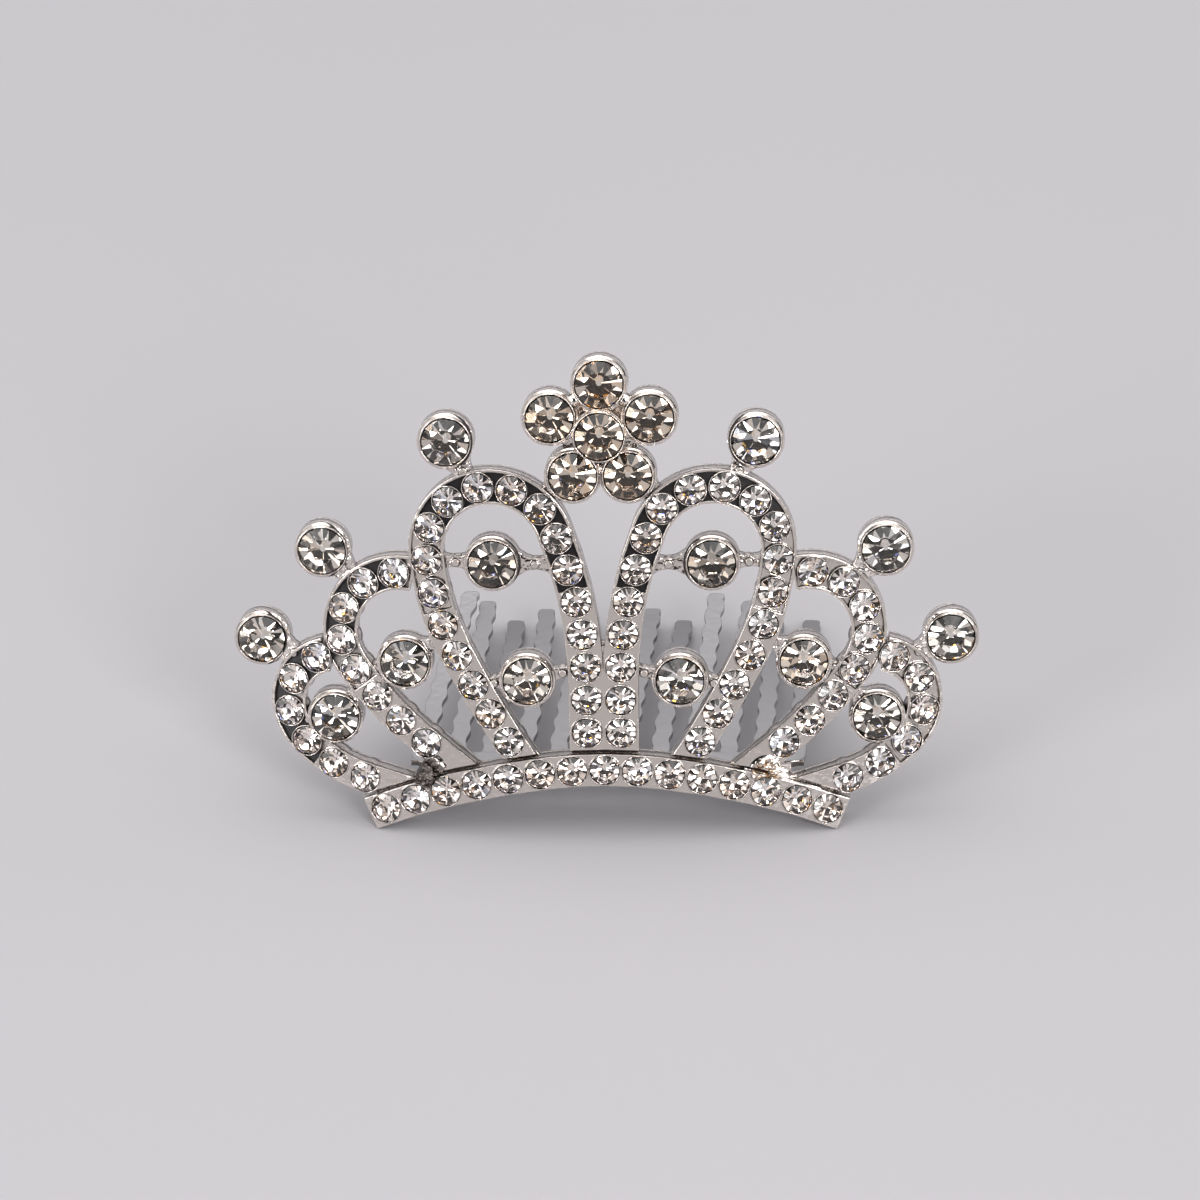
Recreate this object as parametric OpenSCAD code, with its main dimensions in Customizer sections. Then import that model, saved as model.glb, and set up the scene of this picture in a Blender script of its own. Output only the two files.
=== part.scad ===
// Tiara comb: a cast frame of stone-set arches on a curved band, leaning back on a stamped comb.
// Fronts are drawn as x across and s up the leaned front; depth runs back from the front surface.

/* [Frame] */
// Width of the cast strips that carry the rows of small stones
strip_w = 3.5; // [3.4:0.05:3.6]
// Width of the cast band along the bottom
band_w = 3.3; // [3.25:0.05:3.4]
// Depth of the cast strips from front to back
strip_d = 2.4; // [2.2:0.1:3]
// Width of the raised edge on each side of a strip
edge_w = 0.27; // [0.24:0.01:0.3]
// Depth of the channel between the raised edges
channel_d = 0.4; // [0.2:0.05:0.5]
// Radius of the curve of the whole front, seen from above
bow_r = 120; // [110:5:200]
// Angle by which the front leans back
lean = 20; // [16:1:22]

/* [Stones] */
// Diameter of the small stones
small_dia = 3.0; // [2.8:0.05:3.04]
// Diameter of the large stones
large_dia = 4.8; // [4.6:0.05:4.85]
// Outer diameter of the cup round a large stone
cup_dia = 5.64; // [5.6:0.02:5.7]
// Depth of the cups behind the front surface
cup_d = 3.0; // [2.8:0.1:3.2]
// Wall of the thin collar round a small stone
collar_wall = 0.1; // [0.08:0.01:0.1]
// Gap between a stone and its seat
seat_gap = 0.03; // [0.02:0.005:0.04]

/* [Flower] */
// Height of the middle of the flower up the leaned front
flower_s = 41.85; // [41.7:0.05:42]
// How far the middle stone stands in front of the others
center_lift = 1.5; // [1.4:0.05:1.7]

/* [Comb] */
// Number of comb teeth
tooth_count = 12; // [12:1:12]
// Distance from tooth to tooth
tooth_pitch = 3.45; // [3.4:0.01:3.5]
// Width of a tooth
tooth_w = 1.75; // [1.6:0.05:1.9]
// Length of the teeth, along their curve
tooth_len = 29.6; // [29.4:0.1:29.8]
// Number of waves along a tooth
tooth_waves = 9; // [7:1:11]
// Sideways swing of the waves, to each side
wave_h = 0.14; // [0.05:0.01:0.2]
// Thickness of the comb's sheet
comb_t = 0.6; // [0.5:0.05:0.7]
// Angle by which the comb is skewed to the right, seen from above
comb_skew = 3.6; // [3:0.1:4]

/* [Hidden] */
$fn = 48;

// The rows of small stones. Each path has a start [x, s, heading] at its first stone, runs of
// [length, turn to the left in degrees], the pitch and number of its stones, how far the strip
// goes on past the first and the last stone, and from where to where along it the channel is sunk.
BAND = [[0, 7.75, 0], [[5.6, -7.6], [18.95, -15]], 3.26, 8, 0, 1.75];
BIG = [[9.52, 10.6, 57], [[10.4, 6.7], [10.4, 21.7], [18.7, 163.2], [16.6, 21.4], [8, 0]],
       3.376, 19, 3.6, 3.6, 15, 46];
MIDDLE = [[17.9, 10.2, 38.7], [[10.6, 15.4], [15.6, 144]],
          3.376, 8, 6.2, 2, 8.5, 25.4];
OUTER = [[24.28, 6.21, 14.9], [[7.6, 33.5], [11.4, 123]],
         3.5, 6, 5.8, 1, 5, 19.2];

// Stones on the outside of the arches: [x, s, direction of the stem, width of the stem]
TIPS = [[15.2, 41.14, 242, 1.7], [27.96, 29.61, 222, 1.9], [34.54, 20.07, 203, 1.6]];
stem_len = 5.2;

// Stones inside the arches: [x, s], then direction, length and flare of one lug and of the other
INNER = [[[10.82, 28.89], [0, 5.2, 0.3], [181, 6.2, 0.75]],
         [[7.59, 16.97], [353, 4.6, 0.5], [168, 5.0, 0.2]],
         [[19.87, 18.46], [345, 4.2, 0.5], [145, 5.0, 0.6]],
         [[27.17, 12.38], [350, 3.6, 0.4], [130, 4.6, 0.5]]];
lug_w = 1.0;
lug_in = 0.3;
stem_flare = 0.5;

// The lug from a lower petal to the big arch: direction, length, width and flare
PETAL_LUG = [-36, 4.4, 1.6, 0.4];

// A lump left by the mould's gates: its back and front radius, how deep it reaches and how near the front
lump_back_r = 0.75;
lump_front_r = 0.35;
lump_back = 1.3;
lump_front = 0.08;
lump_stem_d = 3.43;
lump_off_end = 0.6;
meet_s = 20.2;

// Petals of the flower: [direction from its middle, distance from its middle]
PETALS = [[90, 5.15], [160, 5.19], [20, 5.19], [235.9, 4.83], [304.1, 4.83]];
center_s = flower_s + 0.3;

// Comb teeth, from the left: [sideways bend at the tip, height of the tip off the table]
TEETH = [[1.3, 4.0], [-0.4, 2.6], [-0.9, 0], [-1.0, 1.5], [-0.4, 1.0], [0.3, 2.0],
         [0.1, 1.6], [0, 0], [0.1, 3.6], [0.3, 2.6], [-0.5, 0.6], [0, 0]];

channel_w = strip_w - 2 * edge_w;
collar_r = small_dia / 2 + collar_wall;
collar_proud = 0.06;
small_girdle = 0;
joint_front = 0.45;
back_in = 0.4;
groove_w = 0.5;
groove_d = 1.4;
foot_in = 0.2;
foot_len = 12;

// Cups: how far they stand proud, the thin rim round the stone, the shoulder below it and the back edge
cup_proud = 0.3;
large_girdle = cup_proud - 0.07;
rim_w = 0.13;
shoulder_h = 0.5;
shoulder_in = 0.7;
shoulder_low = 0.75;
back_edge_w = 0.45;
back_edge_h = 0.6;
center_base = 0.85;
center_cup_dia = 5.3;
center_post_r = 1.7;
center_post_back = 2.5;
center_post_top = 1.1;

// What joins the flower behind its stones: a round plate, an arm to each petal, knots between the cups
core_r = 3.9;
core_back = 2.7;
core_t = 1.8;
arm_back = 2.4;
arm_w = 1.6;
arm_t = 1.2;
knot_at = 4.25;
knot_in = 0.6;
knot_r = 0.75;
KNOT_TURNS = [10, 55, 125, 170, 270];

// Solder: a peaked lump on the left, a low run and a small bead on the right, each with its x and s
PEAK = [-17.9, 6.4];
peak_in = 1.1;
peak_r = 1.7;
peak_tip_r = 0.25;
peak_h = 2.1;
peak_sides = 6;
RUN = [13.9, 7.5];
run_turn = -18;
run_len = 8;
run_w = 1.2;
run_below = 1;
run_front = 0.2;
run_back = 2;
BEAD = [16.8, 7.8];
bead_in = 0.7;
bead_r = 0.4;

// Where the comb's spine meets the teeth, and how it runs up to the band
root_y = 8.3;
root_z = 4.6;
root_slope = 3;
root_in = 1.5;
comb_x = 0.12;
spine_d = 6;
spine_straight = 0.2;
spine_round = 1.5;
spine_over = 0.05;
spine_end = 0.12;
solder_in = 0.2;

// Shape of a stone, as parts of its diameter
crown_h = 0.17;
table_r = 0.3;
girdle_h = 0.02;
pavilion_h = 0.42;
culet_r = 0.03;

// Where the upright front stands before it leans, and the sizes of the blocks that cut and trim
back_y = 19.89;
reach = 20;
shell_low = 5;
shell_h = 65;
seat_up = 1;
floor_half = 40;

// How finely curves are drawn
arc_step = 5;
points_per_wave = 6;
corner_step = 30;
bow_sides = 200;
round_sides = 64;
bead_sides = 24;
tooth_sides = 360;

// Paths
function step(p, len, turn) = turn == 0
  ? [p[0] + len * cos(p[2]), p[1] + len * sin(p[2]), p[2]]
  : let (r = len / turn * 180 / PI)
    [p[0] + r * (sin(p[2] + turn) - sin(p[2])), p[1] - r * (cos(p[2] + turn) - cos(p[2])), p[2] + turn];
function along(p, runs, t, i = 0) = i == len(runs) - 1 || t <= runs[i][0]
  ? step(p, t, runs[i][1] * t / runs[i][0])
  : along(step(p, runs[i][0], runs[i][1]), runs, t - runs[i][0], i + 1);
function run_end_t(path, i) = i < 0 ? 0 : path[1][i][0] + run_end_t(path, i - 1);
function stone_at(path, k) = along(path[0], path[1], k * path[2]);
function last_t(path) = (path[3] - 1) * path[2];

// Places along a path from distance a to distance b after its first stone, close enough together to
// draw its arcs, each with its distance
function knots(path, a, b) =
  let (start = path[0], runs = path[1])
  concat(
    a < 0 ? [concat(step(start, a, 0), a)] : [],
    [for (i = [0:len(runs) - 1])
      let (from = max(a, run_end_t(path, i - 1)),
           used = (i == len(runs) - 1 ? b : min(b, run_end_t(path, i))) - from,
           n = max(1, ceil(abs(runs[i][1]) * used / runs[i][0] / arc_step)))
      if (used > 0.01)
        for (k = [0:n - 1])
          let (t = from + used * k / n)
          concat(along(start, runs, t), t)],
    [concat(along(start, runs, b), b)]);
function whole(path) = knots(path, -path[4], last_t(path) + path[5]);
function both_ways(k) = concat([for (i = [len(k) - 1:-1:1]) [-k[i][0], k[i][1], -k[i][2]]], k);
function beside(p, d) = [p[0] - d * sin(p[2]), p[1] + d * cos(p[2])];

// A slab of width w along some knots, through the whole depth, narrowed by foot towards its foot
module strip(k, w, foot = 0) {
  half = [for (p = k) w / 2 - (foot > 0 ? foot * min(1, max(0, 1 - p[3] / foot_len)) : 0)];
  translate([0, 0, -reach]) linear_extrude(2 * reach) polygon(concat(
    [for (i = [0:len(k) - 1]) beside(k[i], half[i])],
    [for (i = [len(k) - 1:-1:0]) beside(k[i], -half[i])]));
}

// A slab from a cup at x, s to the metal beside it, of width w at its waist and wider by flare at both ends
module lug(x, s, direction, length, w, flare) {
  cup_r = cup_dia / 2 - lug_in;
  sides = [for (u = [0:0.25:1]) [cup_r + (length - cup_r) * u, w / 2 + flare * pow(2 * u - 1, 2)]];
  translate([x, s, -reach]) rotate(direction) linear_extrude(2 * reach) polygon(concat(
    [[0, w / 2 + flare]], sides,
    [for (i = [len(sides) - 1:-1:0]) [sides[i][0], -sides[i][1]]], [[0, -w / 2 - flare]]));
}

function beyond(x, s, direction, d) = [x + d * cos(direction), s + d * sin(direction)];

module both_sides() {
  children();
  mirror([1, 0, 0]) children();
}

// What slabs leave of the bowed front, from depth a to depth b
module bowed(a, b) {
  intersection() {
    rotate([90, 0, 0]) children();
    translate([0, bow_r, -shell_low]) difference() {
      cylinder(r = bow_r - a, h = shell_h, $fn = bow_sides);
      translate([0, 0, -1]) cylinder(r = bow_r - b, h = shell_h + 2, $fn = bow_sides);
    }
  }
}

// Stands what it is given on the bowed front at x, s, with its own z pointing square out of the front
module on_front(x, s) {
  turn = asin(x / bow_r);
  translate([x, bow_r * (1 - cos(turn)), s]) rotate([0, 0, turn]) rotate([90, 0, 0]) children();
}

// The same with z pointing straight ahead, as the mould opens: all the cups face one way
module ahead(x, s) {
  translate([x, bow_r * (1 - cos(asin(x / bow_r))), s]) rotate([90, 0, 0]) children();
}

// From the upright front to the pose in which the tiara rests
module leaned() {
  translate([0, -back_y, 0]) rotate([-lean, 0, 0]) children();
}

// One round stone, its girdle at z = girdle
module stone_body(dia, girdle) {
  translate([0, 0, girdle]) rotate_extrude() polygon([
    [0, crown_h * dia], [table_r * dia, crown_h * dia], [dia / 2, 0], [dia / 2, -girdle_h * dia],
    [culet_r * dia, -pavilion_h * dia], [0, -pavilion_h * dia]]);
}

// The hollow that takes one stone
module stone_seat(dia, girdle) {
  r = dia / 2 + seat_gap;
  bottom = -pavilion_h * dia - seat_gap;
  translate([0, 0, girdle]) rotate_extrude() polygon([
    [0, seat_up], [r, seat_up], [r, -girdle_h * dia - seat_gap],
    [culet_r * dia + seat_gap, bottom], [0, bottom]]);
}

// The round cup that holds a large stone, from depth deep behind the front to proud before it: a soft
// back edge, a shoulder and a thin rim
module cup_body(deep = cup_d, proud = cup_proud, dia = cup_dia) {
  h = deep + proud;
  r = dia / 2;
  crest_r = large_dia / 2 + rim_w;
  step_w = r - crest_r;
  translate([0, 0, -deep]) rotate_extrude($fn = round_sides) polygon([
    [0, 0], [r - back_edge_w, 0], [r, min(back_edge_h, h / 4)], [r, h - shoulder_h],
    [r - shoulder_in * step_w, h - shoulder_low * shoulder_h], [crest_r, h], [0, h]]);
}

function petal_at(k) = beyond(0, flower_s, PETALS[k][0], PETALS[k][1]);

// Front outlines of the metal
// The band, whose lower corners reach down a little further as feet
module band_outline() {
  k = both_ways(whole(BAND));
  last = len(k) - 1;
  translate([0, 0, -reach]) linear_extrude(2 * reach) polygon(concat(
    [for (p = k) beside(p, band_w / 2)],
    [for (i = [last:-1:0]) beside(k[i], -(i == 0 || i == last ? strip_w : band_w) / 2)]));
}

module strips_outline() {
  band_outline();
  both_sides() for (path = [BIG, MIDDLE, OUTER]) strip(whole(path), strip_w, foot_in);
}

module joints_outline() {
  both_sides() {
    for (t = TIPS) lug(t[0], t[1], t[2], stem_len, t[3], stem_flare);
    for (n = INNER, l = [n[1], n[2]]) lug(n[0][0], n[0][1], l[0], l[1], lug_w, l[2]);
    lug(petal_at(4)[0], petal_at(4)[1], PETAL_LUG[0], PETAL_LUG[1], PETAL_LUG[2], PETAL_LUG[3]);
  }
}

// The sunk floor between the raised edges, along the upper part of each arch
module channels_outline() {
  both_sides() for (path = [BIG, MIDDLE, OUTER]) strip(knots(path, path[6], path[7]), channel_w, foot_in);
}

// The shadowed groove between the band's top edge and the feet of the arches
module root_groove_outline() {
  k = both_ways(whole(BAND));
  up = band_w / 2 + groove_w / 2;
  strip([for (p = k) [beside(p, up)[0], beside(p, up)[1], p[2]]], groove_w);
}

module small_seats(path) {
  for (k = [0:path[3] - 1]) on_front(stone_at(path, k)[0], stone_at(path, k)[1]) children();
}

module large_places() {
  for (k = [0:4]) ahead(petal_at(k)[0], petal_at(k)[1]) children();
  for (side = [-1, 1]) {
    for (t = TIPS) ahead(side * t[0], t[1]) children();
    for (n = INNER) ahead(side * n[0][0], n[0][1]) children();
  }
}

module small_places() {
  for (side = [0, 1]) mirror([side, 0, 0]) {
    small_seats(BIG) children();
    small_seats(MIDDLE) children();
    small_seats(OUTER) children();
  }
  small_seats(BAND) children();
  mirror([1, 0, 0]) for (k = [1:BAND[3] - 1]) on_front(stone_at(BAND, k)[0], stone_at(BAND, k)[1]) children();
}

module frame_metal() {
  difference() {
    union() {
      bowed(0, strip_d) strips_outline();
      bowed(joint_front, strip_d - back_in) joints_outline();
    }
    bowed(-1, channel_d) channels_outline();
    bowed(-1, groove_d) root_groove_outline();
  }
}

// What joins the cups of the flower behind their stones
module flower_core() {
  on_front(0, flower_s) {
    translate([0, 0, -core_back]) cylinder(r = core_r, h = core_t);
    for (petal = PETALS)
      rotate(petal[0]) translate([0, -arm_w / 2, -arm_back]) cube([petal[1], arm_w, arm_t]);
    for (turn = KNOT_TURNS)
      rotate(turn) translate([knot_at, 0, -knot_in]) sphere(r = knot_r, $fn = bead_sides);
  }
}

// Lumps on the stems, half way along the lugs and where the big arches meet
module lumps() {
  for (side = [-1, 1]) {
    for (t = TIPS) lump(side, beyond(t[0], t[1], t[2], lump_stem_d));
    for (n = INNER, l = [n[1], n[2]])
      lump(side, beyond(n[0][0], n[0][1], l[0], (cup_dia / 2 + l[1] - lump_off_end) / 2));
  }
  lump(1, [0, meet_s]);
}

module lump(side, place) {
  on_front(side * place[0], place[1]) translate([0, 0, -lump_back])
    cylinder(r1 = lump_back_r, r2 = lump_front_r, h = lump_back - lump_front, $fn = bead_sides);
}

// The thin wall round a small stone, through most of the strip's depth
module collar() {
  translate([0, 0, -strip_d + back_in]) cylinder(r = collar_r, h = strip_d - back_in + collar_proud);
}

module cast_frame() {
  leaned() difference() {
    union() {
      frame_metal();
      lumps();
      small_places() collar();
      large_places() cup_body();
      flower_core();
      solder();
      ahead(0, center_s) {
        translate([0, 0, -center_post_back])
          cylinder(r = center_post_r, h = center_post_back + center_post_top);
        cup_body(-center_base, cup_proud + center_lift, center_cup_dia);
      }
    }
    small_places() stone_seat(small_dia, small_girdle);
    large_places() stone_seat(large_dia, large_girdle);
    ahead(0, center_s) stone_seat(large_dia, large_girdle + center_lift);
  }
}

// The comb is stamped from flat sheet: seen from the side each tooth is an arc that starts along
// the spine and ends at its own tip height. Places are those of its underside, from the table up.
spine_half = (tooth_count - 1) / 2 * tooth_pitch + tooth_w / 2 + spine_end;
tip_r = 0.5;

function tooth_x(k) = comb_x + (k - (tooth_count - 1) / 2) * tooth_pitch;
function sway(bend, t) = bend * pow(t / tooth_len, 2) + wave_h * sin(360 * tooth_waves * t / tooth_len);

// Seen from above, a tooth snakes a little and ends in round corners
module tooth_outline(bend) {
  n = tooth_waves * points_per_wave;
  end = tooth_len - tip_r;
  side = concat([[-tooth_w / 2, -root_in]],
    [for (k = [0:n - 1]) [-tooth_w / 2 + sway(bend, end * k / n), end * k / n]],
    [for (c = [0:corner_step:90]) [-tooth_w / 2 + tip_r * (1 - cos(c)) + bend, end + tip_r * sin(c)]]);
  polygon(concat(side, [for (i = [len(side) - 1:-1:0])
    [side[i][0] + 2 * (side[i][1] > end ? tooth_w / 2 - tip_r * (1 - cos(asin((side[i][1] - end) / tip_r)))
                                        : tooth_w / 2), side[i][1]]]));
}

module tooth(bend, tip_z) {
  chord = [tooth_len, tip_z - root_z];
  bow = atan2(-chord[1], chord[0]) - root_slope;
  r = norm(chord) / 2 / abs(sin(bow));
  down = bow > 0;
  away = down ? -r : r;
  intersection() {
    translate([0, 0, -reach]) linear_extrude(2 * reach) tooth_outline(bend);
    translate([0, away * sin(root_slope), root_z + away * cos(root_slope)]) rotate([0, 90, 0]) difference() {
      cylinder(r = down ? r + comb_t : r, h = reach, center = true, $fn = tooth_sides);
      cylinder(r = down ? r : r - comb_t, h = reach + 2, center = true, $fn = tooth_sides);
    }
  }
}

// The spine runs up to the back of the band and a little into it, where the two are soldered
module spine() {
  side = concat([[spine_half, 0]],
    [for (c = [0:corner_step:90])
      [spine_half - spine_round * (1 - cos(c)), -spine_straight - spine_round * sin(c)]],
    [[spine_half - spine_round, -spine_d]]);
  intersection() {
    translate([comb_x, root_y, root_z]) rotate([-root_slope, 0, 0]) translate([0, 0, -spine_over])
      linear_extrude(comb_t + 2 * spine_over)
        polygon(concat(side, [for (i = [len(side) - 1:-1:0]) [-side[i][0], side[i][1]]]));
    rotate([-lean, 0, 0]) translate([0, bow_r, -shell_low])
      cylinder(r = bow_r - strip_d + solder_in, h = shell_h, $fn = bow_sides);
  }
}

module comb() {
  translate([0, -back_y, 0]) {
    spine();
    for (k = [0:tooth_count - 1])
      translate([tooth_x(k), root_y, 0]) rotate(-comb_skew) tooth(TEETH[k][0], TEETH[k][1]);
  }
}

module solder() {
  on_front(PEAK[0], PEAK[1]) translate([0, 0, -peak_in]) rotate([-90, 0, 0])
    cylinder(r1 = peak_r, r2 = peak_tip_r, h = peak_h, $fn = peak_sides);
  bowed(run_front, run_back) translate([RUN[0], RUN[1], -reach]) rotate(run_turn)
    translate([0, -run_below, 0]) cube([run_len, run_w, 2 * reach]);
  on_front(BEAD[0], BEAD[1]) translate([0, 0, -bead_in]) sphere(r = bead_r, $fn = bead_sides);
}

module frame_and_comb() color("silver") {
  difference() {
    union() {
      cast_frame();
      comb();
    }
    translate([-floor_half, -floor_half, -reach]) cube([2 * floor_half, 2 * floor_half, reach]);
  }
}

module large_stone(x, s, girdle = large_girdle) color("aliceblue") {
  leaned() ahead(x, s) stone_body(large_dia, girdle);
}

module tip_stone(side, k) {
  large_stone(side * TIPS[k][0], TIPS[k][1]);
}

module inner_stone(side, k) {
  large_stone(side * INNER[k][0][0], INNER[k][0][1]);
}

module petal_stone(k) {
  large_stone(petal_at(k)[0], petal_at(k)[1]);
}

module stone_row(path, side) color("aliceblue") {
  leaned() mirror([side < 0 ? 1 : 0, 0, 0]) small_seats(path) stone_body(small_dia, small_girdle);
}

module band_stones() color("aliceblue") {
  leaned() {
    small_seats(BAND) stone_body(small_dia, small_girdle);
    mirror([1, 0, 0]) for (k = [1:BAND[3] - 1])
      on_front(stone_at(BAND, k)[0], stone_at(BAND, k)[1]) stone_body(small_dia, small_girdle);
  }
}

frame_and_comb();
large_stone(0, center_s, large_girdle + center_lift);  // center_stone
petal_stone(0);  // petal_stone_top
petal_stone(1);  // petal_stone_upper_left
petal_stone(2);  // petal_stone_upper_right
petal_stone(3);  // petal_stone_lower_left
petal_stone(4);  // petal_stone_lower_right
tip_stone(-1, 0);  // tip_stone_left_1
tip_stone(-1, 1);  // tip_stone_left_2
tip_stone(-1, 2);  // tip_stone_left_3
tip_stone(1, 0);  // tip_stone_right_1
tip_stone(1, 1);  // tip_stone_right_2
tip_stone(1, 2);  // tip_stone_right_3
inner_stone(-1, 0);  // inner_stone_left_1
inner_stone(-1, 1);  // inner_stone_left_2
inner_stone(-1, 2);  // inner_stone_left_3
inner_stone(-1, 3);  // inner_stone_left_4
inner_stone(1, 0);  // inner_stone_right_1
inner_stone(1, 1);  // inner_stone_right_2
inner_stone(1, 2);  // inner_stone_right_3
inner_stone(1, 3);  // inner_stone_right_4
band_stones();
stone_row(BIG, -1);  // big_arch_stones_left
stone_row(BIG, 1);  // big_arch_stones_right
stone_row(MIDDLE, -1);  // middle_arch_stones_left
stone_row(MIDDLE, 1);  // middle_arch_stones_right
stone_row(OUTER, -1);  // outer_arch_stones_left
stone_row(OUTER, 1);  // outer_arch_stones_right
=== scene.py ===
"""Tiara comb: looks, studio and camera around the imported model."""

import math
import random

import bmesh
import bpy
import numpy as np
from bpy.props import FloatProperty, FloatVectorProperty, IntProperty, PointerProperty
from mathutils import Matrix, Vector


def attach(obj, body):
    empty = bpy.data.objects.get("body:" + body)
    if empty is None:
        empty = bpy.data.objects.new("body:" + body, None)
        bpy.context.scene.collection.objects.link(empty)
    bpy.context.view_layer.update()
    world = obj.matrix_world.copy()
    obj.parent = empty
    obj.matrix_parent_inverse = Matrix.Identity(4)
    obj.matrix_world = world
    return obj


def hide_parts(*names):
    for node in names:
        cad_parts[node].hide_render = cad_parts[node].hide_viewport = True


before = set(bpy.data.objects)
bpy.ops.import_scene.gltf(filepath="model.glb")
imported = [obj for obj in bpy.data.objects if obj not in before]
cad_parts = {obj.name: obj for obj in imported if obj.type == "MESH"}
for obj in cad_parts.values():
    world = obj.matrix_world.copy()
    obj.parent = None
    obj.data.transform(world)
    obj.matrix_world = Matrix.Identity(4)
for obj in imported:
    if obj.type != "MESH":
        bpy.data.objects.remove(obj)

bl_info = {
    "name": "Tiara comb",
    "version": (1, 0, 0),
    "blender": (4, 5, 0),
    "location": "View3D > Sidebar > Tiara",
    "description": "Finishes a cast tiara comb set with foil-backed glass stones",
    "category": "Object",
}

MM = 0.001

FRAME_NODE = "frame_and_comb"
FLOWER = ["center_stone", "petal_stone_top", "petal_stone_upper_left", "petal_stone_upper_right",
          "petal_stone_lower_left", "petal_stone_lower_right"]
TIPS = [f"tip_stone_{side}_{k}" for side in ("left", "right") for k in (1, 2, 3)]
INNER = [f"inner_stone_{side}_{k}" for side in ("left", "right") for k in (1, 2, 3, 4)]
GREYER = ["inner_stone_left_1", "inner_stone_right_1"]
ROWS = ["band_stones"] + [f"{arch}_arch_stones_{side}" for arch in ("big", "middle", "outer")
                          for side in ("left", "right")]

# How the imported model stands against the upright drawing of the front: moved back, leaned back in
# degrees and bowed, in millimetres
BACK_Y = 19.89
LEAN = math.radians(20.0)
BOW_R = 120.0

# Depths behind the front in millimetres, each a middle and how far it reaches either way: floor of
# the channel between the stones, and fronts of the stems and lugs
CHANNEL_DEPTH = (0.36, 0.07)
STEM_DEPTH = (0.8, 0.36)

# Where the comb begins behind the front, and how far up from the table it goes, in millimetres
COMB_DEPTH = (3.0, 3.1)
COMB_TOP = (6.6, 6.3)

# Where the channel's floor is painted dark on the upright front, a painted reflection and shade, in
# millimetres. The height, and for the outer arches the way across, is taken with a share of the
# other, and the painted dark comes in from the first number to the second.
BIG_TOPS_SLOPE, BIG_TOPS = -0.58, (21.0, 22.5)
MIDDLE_TOPS_SLOPE, MIDDLE_TOPS = 0.9, (40.5, 43.0)
OUTER_SIDES_SLOPE, OUTER_SIDES = -0.5, (23.0, 24.5)
BIG_ARCH_SIDE = (19.2, 19.6)
# Across the front, where the painted dark on the channel's floor fades to little on the right
PALER_RIGHT = (18.6, 19.4)

# Patterns in the metal, in millimetres. The real grain of the mould is finer, and it is drawn as
# coarse as it needs to show.
MOULD_GRAIN = 0.22
MOULD_LAYER = 1.4
SOLDER_FACET = 0.6

# Burnt flux where the comb is soldered on, left and right: place on the upright front and reach
FLUX_LEFT = ((-17.9, 1.4, 7.1), 2.2)
FLUX_RIGHT = ((16.0, 1.7, 7.2), 1.9)

# Colour of the painted shade in seams, corners, deep slots and the valleys of the walls
CREASE_SHADE = "#3b3431"
BURNT_FLUX = "#544e4b"
GOLDEN_FLUX = "#84602f"

# Shape of a cut stone, as shares of the plain one's diameter: radius, depth of the girdle's top in
# the seat, depth of the back below that, how far down the back starts at its corners, and least
# height of the girdle. The settings hold its table, crown and culet.
STONE_R = 0.48
SEAT_DEPTH = 0.17
BACK_DEPTH = 0.415
GIRDLE_DROP = 0.035
GIRDLE_LEAST = 0.004

# Faces of the girdle for each facet of the crown
GIRDLE_STEPS = 4

# Linear colours of single facets. Each comes up below its share of the draw.
GIRDLE_FLASHES = [(0.11, (1.0, 0.55, 0.08)), (0.19, (0.25, 0.35, 1.0))]
FACET_FLASHES = [(0.2, (1.0, 0.93, 0.87)), (0.28, (0.9, 0.93, 1.0)), (1.0, (1.0, 0.99, 0.985))]

# First seeds of the random draws
FLOWER_SEED, LARGE_SEED, ROW_SEED = 100, 200, 300

# The stage: half the table's side in metres, and the size in millimetres of the soft patches on it
TABLE_HALF = 2.0
TABLE_PATCH = 150

# Soft lamps: name, place and size in metres, setting of the power, colour
LAMP_AIM = (0, 0, 0.02)
LAMPS = [
    ("key_softbox", (0.7, -0.95, 0.72), (0.5, 0.5), "key_power", "#ffffff"),
    ("fill_softbox", (-0.9, -0.78, 0.55), (0.45, 0.6), "fill_power", "#fdfdff"),
    ("top_softbox", (-0.15, 0.5, 1.2), (0.9, 0.8), "top_power", "#ffffff"),
]

# Tones of the studio by height, as the sine of the angle above the horizon. In front the pale table
# edge lies below the dark side of the studio, and behind a dark gap lies below the pale backdrop.
FRONT_TONES = [(0.0, "#c6c4c5"), (0.19, "#c6c4c5"), (0.28, "#262525"), (1.0, "#262525")]
BACK_TONES = [(0.0, "#cfcdcf"), (0.04, "#cfcdcf"), (0.08, "#161514"), (0.22, "#161514"),
              (0.28, "#d8d6d8"), (1.0, "#d8d6d8")]
SIDE_TONES = [(0.0, "#fffefe"), (0.05, "#fffefe"), (0.08, "#161514"), (0.16, "#161514"),
              (0.2, "#fffefe"), (1.0, "#fffefe")]

# The camera of the photograph: lens and sensor in millimetres, turn, height and roll in degrees,
# and place in millimetres
LENS, SENSOR = 114.2, 36.0
AZIMUTH, ELEVATION, ROLL = 3.36, 35.0, -2.06
CAMERA_PLACE = (17.8, -298.0 - BACK_Y, 238.9)


def srgb(hex_value):
    """sRGB hex to linear red, green, blue and alpha."""
    parts = [int(hex_value[i:i + 2], 16) / 255 for i in (1, 3, 5)]
    return [p / 12.92 if p <= 0.04045 else ((p + 0.055) / 1.055) ** 2.4 for p in parts] + [1.0]


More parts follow.
